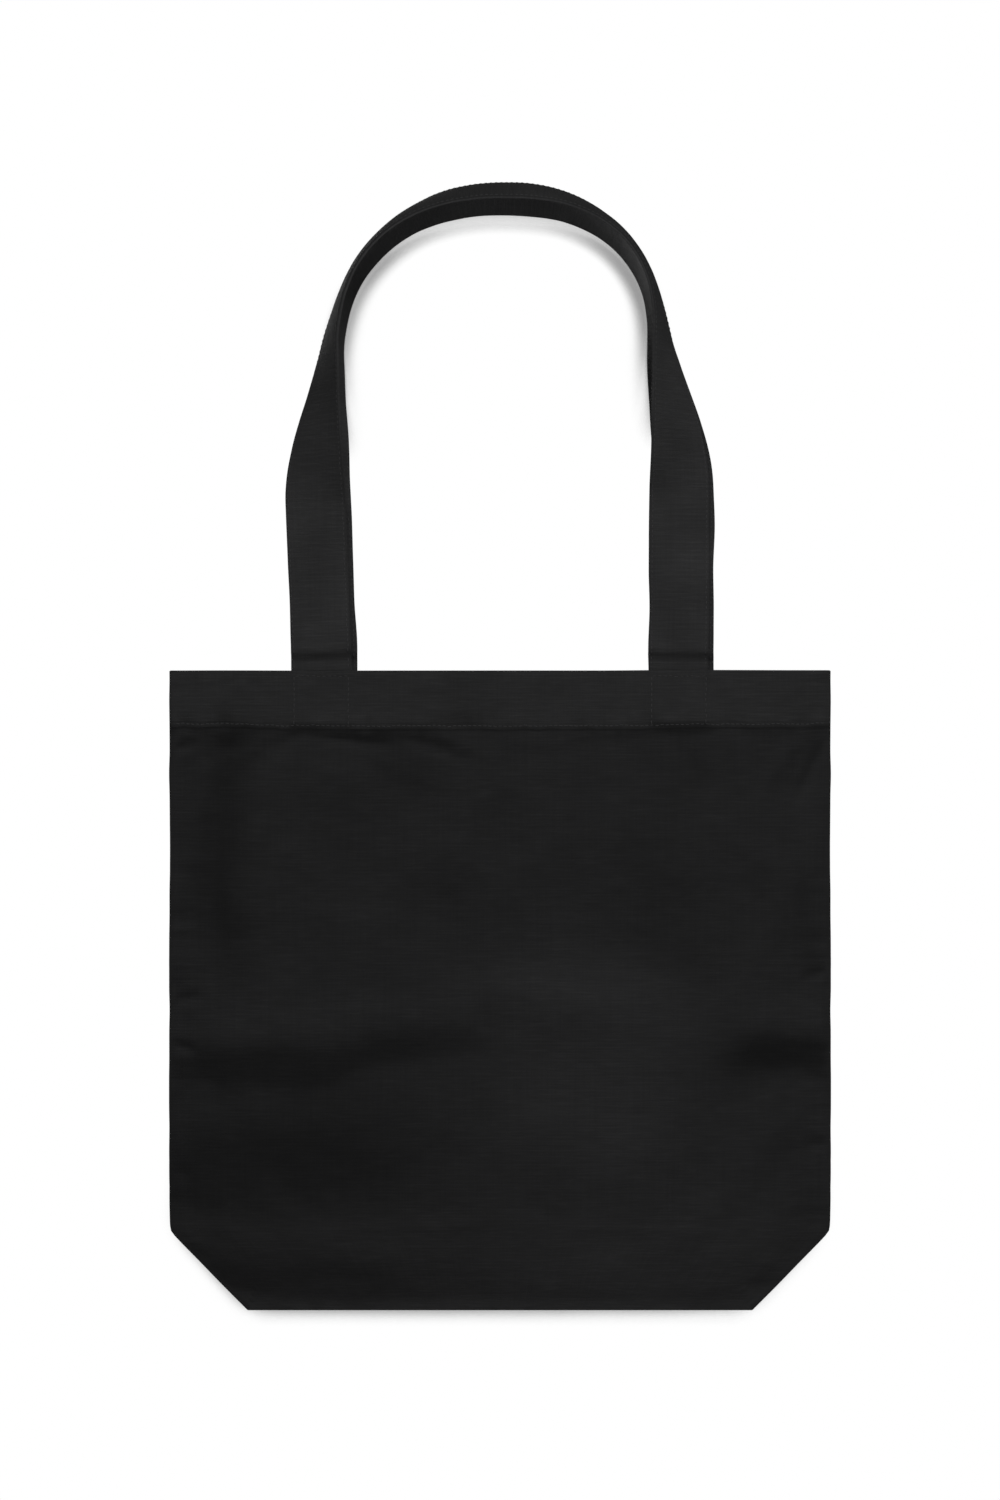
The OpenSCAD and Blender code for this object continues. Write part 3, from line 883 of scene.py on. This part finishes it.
def sew_handle_edges(side):
    """Rows of stitches along both edges of a handle, seen on both of its faces."""
    sizes = bpy.context.scene.tote_sizes
    strap = strap_for(side)
    first = strap.tail + 1.5 * MM
    count = int((strap.length - 2 * first) / sizes.stitch)
    s = first + (np.arange(count) + 0.5) * sizes.stitch
    reach = STRAP_W / 2 - sizes.inset
    rise = STRAP_T / 2 - 0.30 * MM
    places, along, up = [], [], []
    for edge in (-reach, reach):
        for face in (-1, 1):
            a, b = np.full_like(s, edge), np.full_like(s, face * rise)
            ahead = strap.section(s + 0.8 * MM, a, b) - strap.section(s - 0.8 * MM, a, b)
            aside = strap.section(s, a + 0.8 * MM, b) - strap.section(s, a - 0.8 * MM, b)
            normal = np.cross(ahead, aside)
            normal *= np.sign(np.sum(normal * strap.normal_at(s), 1))[:, None] * face
            places.append(strap.section(s, a, b))
            along.append(ahead)
            up.append(normal / np.linalg.norm(normal, axis=1)[:, None])
    shape = stitch_shape(sizes.stitch * STITCH_SHARE, sizes.thread)
    piece = copies(NAMES[side] + "_handle_thread", shape, np.concatenate(places),
                   np.concatenate(along), np.concatenate(up), thread(), 0.05, strap.seed)
    follow_handle(piece)
    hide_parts(NAMES[side] + "_handle_stitches")


# ---------------------------------------------------------------- seams inside the bag


def seam_strip(name, start, end, inward, width, node):
    """Layers of canvas sewn together along one edge of the bag, running in from the edge."""
    start, end, inward = np.array(start), np.array(end), np.array(inward)
    length = np.linalg.norm(end - start)
    count = max(8, int(length / (2.5 * MM)))
    t = np.linspace(0, 1, count)
    half = 0.62 * MM
    u = np.array([0, 0.33, 0.66, 0.9, 1, 1, 0.9, 0.66, 0.33, 0])
    y = np.array([1, 1, 1, 0.95, 0.6, -0.6, -0.95, -1, -1, -1]) * half
    s = np.repeat(t, len(u)) * length
    wave = 0.35 * MM * noise(s, 0 * s, 12 * MM, 1, len(name))
    reach = np.tile(u, count) * (width + wave)
    line = start + (end - start) * (s / length)[:, None]
    points = line + inward * reach[:, None]
    rough = 0.12 * MM * noise(s, reach, 8 * MM, 9 * MM, len(name) + 2)
    points[:, 1] += np.tile(y, count) + rough * np.tile(u, count)
    faces = grid_faces(count, len(u), loop=True)
    last = (count - 1) * len(u)
    faces.append(list(range(len(u)))[::-1])
    faces.append([last + k for k in range(len(u))])
    piece = mesh_piece(name, points, faces, np.stack([reach + np.tile(y > 0, count) * 0.02, s], 1))
    set_painted_shading(piece, np.full(len(points), 0.5))
    recalculate_outside(piece)
    piece.data.materials.append(hem_canvas())
    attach(piece, "seams")
    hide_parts(node)
    return piece


def seam_runs():
    """Each seam's start, its end and the direction into the bag, by the node it stands for."""
    off, gap = 1.7 * MM, 1.2 * MM
    edge, low = HALF_W - off, BOTTOM_Z + off
    cut = CORNER_CUT + off * (2 - math.sqrt(2))
    d = 1 / math.sqrt(2)
    trim = SEAM_W * math.tan(math.pi / 8) + gap
    runs = {}
    for sign, hand in ((-1, "left"), (1, "right")):
        x = sign * edge
        runs[hand + "_side_seam"] = ((x, 0, BOTTOM_Z + cut + trim), (x, 0, RIM_Z - 1.5 * MM), (-sign, 0, 0))
        a = np.array([x, 0, BOTTOM_Z + cut])
        b = np.array([sign * (HALF_W - cut), 0, low])
        run = (b - a) / np.linalg.norm(b - a)
        runs[hand + "_corner_seam"] = (a + run * trim, b - run * trim, (-sign * d, 0, d))
    runs["bottom_seam"] = ((-HALF_W + cut + trim, 0, low), (HALF_W - cut - trim, 0, low), (0, 0, 1))
    return runs


def overlock(name, nodes, seams):
    """Turns of thread that bind the inner edges of some seams against fraying."""
    sizes = bpy.context.scene.tote_sizes
    places, along, up = [], [], []
    for seam in seams:
        start, end, inward = (np.array(v, float) for v in seam_runs()[seam])
        length = np.linalg.norm(end - start)
        run = (end - start) / length
        count = int((length - 3 * MM) / (2.2 * MM))
        s = 1.5 * MM + (np.arange(count) + 0.5) * (length - 3 * MM) / count
        places.append(start + run * s[:, None] + inward * (SEAM_W - 2.9 * MM))
        along.append(np.tile(run, (count, 1)))
        up.append(np.tile(np.cross(run, inward), (count, 1)))
    shape = wrap_shape(3.4 * MM, 1.7 * MM, sizes.thread * 0.9)
    piece = copies(name, shape, np.concatenate(places), np.concatenate(along),
                   np.concatenate(up), thread(), 0.08, len(name))
    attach(piece, "seams")
    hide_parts(*nodes)


# ---------------------------------------------------------------- materials


def new_material(name):
    """An empty node material, or None with the finished one if it was made before."""
    if name in bpy.data.materials:
        return bpy.data.materials[name], None
    material = bpy.data.materials.new(name)
    material.use_nodes = True
    material.node_tree.nodes.clear()
    return material, Nodes(material.node_tree)


class Nodes:
    """Short ways to add and join shader nodes."""

    def __init__(self, tree):
        self.tree = tree

    def add(self, kind, values=None, **settings):
        """A node with its settings made, and its inputs set or joined to other nodes."""
        node = self.tree.nodes.new(kind)
        for key, value in settings.items():
            setattr(node, key, value)
        for key, value in (values or {}).items():
            if isinstance(value, bpy.types.NodeSocket):
                self.tree.links.new(value, node.inputs[key])
            else:
                node.inputs[key].default_value = value
        return node

    def math(self, operation, a, b=0.0, c=0.0):
        """One step of arithmetic on values or sockets."""
        return self.add("ShaderNodeMath", {0: a, 1: b, 2: c}, operation=operation).outputs[0]

    def spread(self, value, low, high, to_low, to_high, smooth_step=True):
        """A value moved from one range to another, and kept inside it."""
        node = self.add("ShaderNodeMapRange", {
            "Value": value, "From Min": low, "From Max": high, "To Min": to_low, "To Max": to_high})
        node.interpolation_type = "SMOOTHSTEP" if smooth_step else "LINEAR"
        return node.outputs["Result"]

    def stretched(self, u, v, u_size, v_size, detail=2.0, roughness=0.5):
        """Noise over the cloth with cells of the given sizes in millimetres."""
        place = self.add("ShaderNodeCombineXYZ", {
            "X": self.math("DIVIDE", u, u_size * MM), "Y": self.math("DIVIDE", v, v_size * MM)})
        field = self.add("ShaderNodeTexNoise", {
            "Vector": place.outputs[0], "Scale": 1.0, "Detail": detail, "Roughness": roughness})
        return field.outputs["Fac"]

    def tinted(self, colour, factor):
        """A colour made darker or lighter by a factor that varies over the piece."""
        node = self.add("ShaderNodeVectorMath", {0: tuple(colour), "Scale": factor}, operation="SCALE")
        return node.outputs[0]

    def finish(self, colour, height, distance, roughness, sheen):
        """Joins colour, relief and roughness to a cloth-like surface and the output."""
        bump_node = self.add("ShaderNodeBump", {"Height": height, "Strength": 1.0, "Distance": distance})
        surface = self.add("ShaderNodeBsdfPrincipled", {
            "Base Color": colour, "Roughness": roughness, "Normal": bump_node.outputs[0],
            "Specular IOR Level": 0.05, "Sheen Weight": sheen, "Sheen Roughness": 0.6})
        self.add("ShaderNodeOutputMaterial", {"Surface": surface.outputs[0]})


# Millimetres from one thread to the next, across the cloth and up it
PANEL_WEAVE = (0.64, 0.90)
STRAP_WEAVE = (0.70, 0.80)


def hem_canvas():
    """The material of the doubled hem and the seams inside the bag."""
    return weave_material("Hem canvas", bpy.context.scene.tote_colours.hem, *PANEL_WEAVE)


def weave_material(name, colour, warp, weft):
    """Plain-woven cotton canvas: warp up the cloth and thicker, uneven weft across it."""
    material, nodes = new_material(name)
    if nodes is None:
        return material
    place = nodes.add("ShaderNodeUVMap", uv_map="cloth")
    split = nodes.add("ShaderNodeSeparateXYZ", {0: place.outputs[0]})
    u, v = split.outputs[0], split.outputs[1]
    drift = nodes.stretched(u, v, 18, 5, 1.0)
    v2 = nodes.math("ADD", v, nodes.math("MULTIPLY", drift, 0.5 * MM))
    drift = nodes.stretched(u, v, 7, 26, 1.0)
    u2 = nodes.math("ADD", u, nodes.math("MULTIPLY", drift, 0.5 * MM))
    a = nodes.math("SINE", nodes.math("MULTIPLY", u2, math.pi / (warp * MM)))
    b = nodes.math("SINE", nodes.math("MULTIPLY", v2, math.pi / (weft * MM)))
    over = nodes.spread(nodes.math("MULTIPLY", a, b), -0.25, 0.25, 0.0, 1.0)
    warp_up = nodes.math("ABSOLUTE", a)
    weft_up = nodes.math("ABSOLUTE", b)
    crossing = nodes.add("ShaderNodeMix", {"Factor": over, "A": weft_up, "B": warp_up}).outputs[0]
    slubs = nodes.spread(nodes.stretched(u, v, 16, 0.95, 2.0, 0.6), 0.42, 0.72, 0.0, 1.0)
    streaks = nodes.stretched(u, v, 60, 1.3, 3.0, 0.6)
    warp_streaks = nodes.stretched(u, v, 1.1, 55, 2.0, 0.6)
    patches = nodes.stretched(u, v, 70, 45, 3.0, 0.55)
    fuzz = nodes.stretched(u, v, 0.35, 0.35, 2.0, 0.6)
    tone = nodes.spread(crossing, 0.0, 1.0, 0.72, 1.08)
    tone = nodes.math("MULTIPLY", tone, nodes.spread(slubs, 0.0, 1.0, 0.97, 1.18, False))
    tone = nodes.math("MULTIPLY", tone, nodes.spread(streaks, 0.3, 0.7, 0.92, 1.08, False))
    tone = nodes.math("MULTIPLY", tone, nodes.spread(warp_streaks, 0.3, 0.7, 0.94, 1.06, False))
    tone = nodes.math("MULTIPLY", tone, nodes.spread(patches, 0.3, 0.7, 0.90, 1.10, False))
    tone = nodes.math("MULTIPLY", tone, nodes.spread(fuzz, 0.2, 0.8, 0.80, 1.20, False))
    # Painted shading stored on the points darkens or lightens the weave's tone: painted shade where it is low,
    # painted light where it is high.
    painted_shading = nodes.add("ShaderNodeAttribute", attribute_name="painted_shading").outputs["Fac"]
    tone = nodes.math("MULTIPLY", tone, nodes.spread(painted_shading, 0.0, 1.0, 0.58, 1.42, False))
    height = nodes.math("MULTIPLY_ADD", slubs, 0.55, crossing)
    height = nodes.math("MULTIPLY_ADD", streaks, 0.5, height)
    height = nodes.math("MULTIPLY_ADD", fuzz, 0.3, height)
    rough = nodes.spread(fuzz, 0.2, 0.8, 0.86, 0.96, False)
    nodes.finish(nodes.tinted(colour, tone), height, 0.16 * MM, rough, 0.01)
    return material


def thread_material(name, colour):
    """Twisted polyester thread: fine slanting plies with a slight shine."""
    material, nodes = new_material(name)
    if nodes is None:
        return material
    place = nodes.add("ShaderNodeUVMap", uv_map="cloth")
    split = nodes.add("ShaderNodeSeparateXYZ", {0: place.outputs[0]})
    u, v = split.outputs[0], split.outputs[1]
    slant = nodes.math("MULTIPLY_ADD", v, 1.4, u)
    ply = nodes.math("SINE", nodes.math("MULTIPLY", slant, 2 * math.pi / (0.55 * MM)))
    fuzz = nodes.stretched(u, v, 0.3, 0.2, 2.0, 0.6)
    tone = nodes.spread(ply, -1.0, 1.0, 0.78, 1.15)
    tone = nodes.math("MULTIPLY", tone, nodes.spread(fuzz, 0.2, 0.8, 0.85, 1.15))
    rough = nodes.spread(fuzz, 0.2, 0.8, 0.55, 0.7)
    nodes.finish(nodes.tinted(colour, tone), ply, 0.05 * MM, rough, 0.02)
    return material


def floor_material(colour):
    """A plain pale painted surface."""
    material, nodes = new_material("Floor")
    if nodes is None:
        return material
    place = nodes.add("ShaderNodeTexCoord")
    field = nodes.add("ShaderNodeTexNoise", {
        "Vector": place.outputs["Object"], "Scale": 6.0, "Detail": 3.0})
    tone = nodes.spread(field.outputs["Fac"], 0.3, 0.7, 0.99, 1.01)
    paint = nodes.add("ShaderNodeBsdfDiffuse", {"Color": nodes.tinted(colour, tone)})
    nodes.add("ShaderNodeOutputMaterial", {"Surface": paint.outputs[0]})
    return material


def shade_sheet_material():
    """A clear sheet before the white air that only shows a painted shadow close under the bag.

    The bag hangs nearer to the sheet at its top, so the shade's reach and range change with height."""
    material, nodes = new_material("Shade sheet")
    if nodes is None:
        return material
    place = nodes.add("ShaderNodeTexCoord").outputs["Object"]
    height = nodes.add("ShaderNodeSeparateXYZ", {0: place}).outputs["Y"]

    def by_height(at_bottom, at_top):
        return nodes.spread(height, -0.26, 0.26, at_bottom, at_top, False)

    # Painted shadow: occlusion looking up and forwards from the sheet darkens it close under the bag's edges.
    upward = nodes.add("ShaderNodeCombineXYZ", {"X": 0.15, "Y": -0.62, "Z": 0.78})
    cover = nodes.add("ShaderNodeAmbientOcclusion", {
        "Distance": by_height(0.023, 0.013), "Normal": upward.outputs[0]}, samples=24)
    shade = nodes.spread(cover.outputs["AO"], by_height(0.66, 0.70), by_height(0.91, 0.99), 0.30, 1.0)
    face = nodes.add("ShaderNodeNewGeometry")
    tone = nodes.math("MAXIMUM", shade, face.outputs["Backfacing"])
    clear = nodes.add("ShaderNodeBsdfTransparent", {"Color": tone})
    nodes.add("ShaderNodeOutputMaterial", {"Surface": clear.outputs[0]})
    return material


# ---------------------------------------------------------------- studio


def set_air():
    """Even white air: bright to the camera, softer as light on the bag."""
    world = bpy.data.worlds.new("Studio")
    world.use_nodes = True
    world.node_tree.nodes.clear()
    nodes = Nodes(world.node_tree)
    rays = nodes.add("ShaderNodeLightPath")
    strength = nodes.spread(rays.outputs["Is Camera Ray"], 0.0, 1.0, 0.22, 1.0, False)
    air = nodes.add("ShaderNodeBackground", {"Color": (1, 1, 1, 1), "Strength": strength})
    nodes.add("ShaderNodeOutputWorld", {"Surface": air.outputs[0]})
    bpy.context.scene.world = world


def add_light(name, place, aim, size, power):
    """A soft rectangular light that looks at a point."""
    bpy.ops.object.light_add(type="AREA", location=place)
    light = bpy.context.object
    light.name = name
    light.data.shape = "RECTANGLE"
    light.data.size, light.data.size_y = size
    light.data.energy = power
    light.rotation_euler = (Vector(aim) - Vector(place)).to_track_quat("-Z", "Y").to_euler()
    return light


def build_stage():
    """The shade sheet, the floor, the lights and the camera."""
    scene = bpy.context.scene
    scene.view_settings.view_transform = "Standard"
    set_air()
    bpy.ops.object.select_all(action="DESELECT")
    middle, top_y, low_y = BOTTOM_Z / 2, 0.042, 0.017
    lean = math.atan((top_y - low_y) / -BOTTOM_Z)
    bpy.ops.mesh.primitive_plane_add(
        size=1, location=(0, (top_y + low_y) / 2, middle), rotation=(math.pi / 2 - lean, 0, 0))
    shade_sheet = bpy.context.object
    shade_sheet.name = "shade_sheet"
    shade_sheet.scale = (1.3, 1.34, 1)
    shade_sheet.visible_diffuse = False
    shade_sheet.visible_glossy = False
    shade_sheet.visible_shadow = False
    bpy.ops.mesh.primitive_circle_add(vertices=64, radius=0.6, fill_type="NGON", location=(0, 0, -1.02))
    floor = bpy.context.object
    floor.name = "floor"
    shade_sheet.data.materials.append(shade_sheet_material())
    floor.data.materials.append(floor_material(scene.tote_colours.floor))
    aim = (0, 0, -0.35)
    lights = [
        add_light("key", (0.5, -1.9, 1.0), aim, (0.8, 0.6), 43),
        add_light("fill", (-0.7, -2.2, -0.7), aim, (1.4, 1.2), 9),
        add_light("back", (-0.6, 2.1, -0.1), aim, (1.6, 1.4), 48),
    ]
    bpy.ops.object.camera_add(location=(0, -2.247, -0.345), rotation=(math.pi / 2, 0, 0))
    camera = bpy.context.object
    camera.data.lens = 85
    camera.data.dof.use_dof = False
    scene.camera = camera


# ---------------------------------------------------------------- operators


class TOTE_OT_panels(bpy.types.Operator):
    """Sew the front and back panels with their hems"""
    bl_idname = "tote.panels"
    bl_label = "Canvas Panels"

    def execute(self, context):
        for side in (FRONT, BACK):
            sew_panel(side)
        return {"FINISHED"}


class TOTE_OT_straps(bpy.types.Operator):
    """Sew the front and back handles"""
    bl_idname = "tote.straps"
    bl_label = "Handles"

    def execute(self, context):
        for side in (FRONT, BACK):
            sew_strap(side)
        return {"FINISHED"}


class TOTE_OT_stitches(bpy.types.Operator):
    """Sew the rows of stitches on hems, strap ends and handles"""
    bl_idname = "tote.stitches"
    bl_label = "Stitches"

    def execute(self, context):
        for side in (FRONT, BACK):
            sew_hem_row(side)
            sew_box(side, "left")
            sew_box(side, "right")
            sew_handle_edges(side)
        return {"FINISHED"}


class TOTE_OT_seams(bpy.types.Operator):
    """Sew the side, corner and bottom seams inside the bag and bind their edges"""
    bl_idname = "tote.seams"
    bl_label = "Inner Seams"

    def execute(self, context):
        for node, (start, end, inward) in seam_runs().items():
            seam_strip(node + "_layers", start, end, inward, SEAM_W - 1.7 * MM, node)
        overlock("side_binding", ["side_overlock_threads"],
                 ["left_side_seam", "right_side_seam"])
        overlock("bottom_binding", ["bottom_overlock_thread"], ["bottom_seam"])
        overlock("corner_binding", ["corner_overlock_threads"],
                 ["left_corner_seam", "right_corner_seam"])
        return {"FINISHED"}


class TOTE_OT_stage(bpy.types.Operator):
    """Set up the shade sheet, floor, lights and camera"""
    bl_idname = "tote.stage"
    bl_label = "Studio"

    def execute(self, context):
        build_stage()
        return {"FINISHED"}


OPERATORS = (TOTE_OT_panels, TOTE_OT_straps, TOTE_OT_stitches, TOTE_OT_seams, TOTE_OT_stage)


class TOTE_PT_sidebar(bpy.types.Panel):
    """Sizes, colours and steps of the bag"""
    bl_idname = "TOTE_PT_sidebar"
    bl_label = "Canvas Tote Bag"
    bl_space_type = "VIEW_3D"
    bl_region_type = "UI"
    bl_category = "Tote Bag"

    def draw(self, context):
        for group in (context.scene.tote_sizes, context.scene.tote_colours):
            for name in group.__annotations__:
                self.layout.prop(group, name)
        for step in OPERATORS:
            self.layout.operator(step.bl_idname)


CLASSES = (ToteSizes, ToteColours, *OPERATORS, TOTE_PT_sidebar)


def register():
    for each in CLASSES:
        bpy.utils.register_class(each)
    bpy.types.Scene.tote_sizes = bpy.props.PointerProperty(type=ToteSizes)
    bpy.types.Scene.tote_colours = bpy.props.PointerProperty(type=ToteColours)


def unregister():
    del bpy.types.Scene.tote_colours
    del bpy.types.Scene.tote_sizes
    for each in reversed(CLASSES):
        bpy.utils.unregister_class(each)


def main():
    register()
    for step in OPERATORS:
        group, name = step.bl_idname.split(".")
        getattr(getattr(bpy.ops, group), name)()


if __name__ == "__main__":
    main()
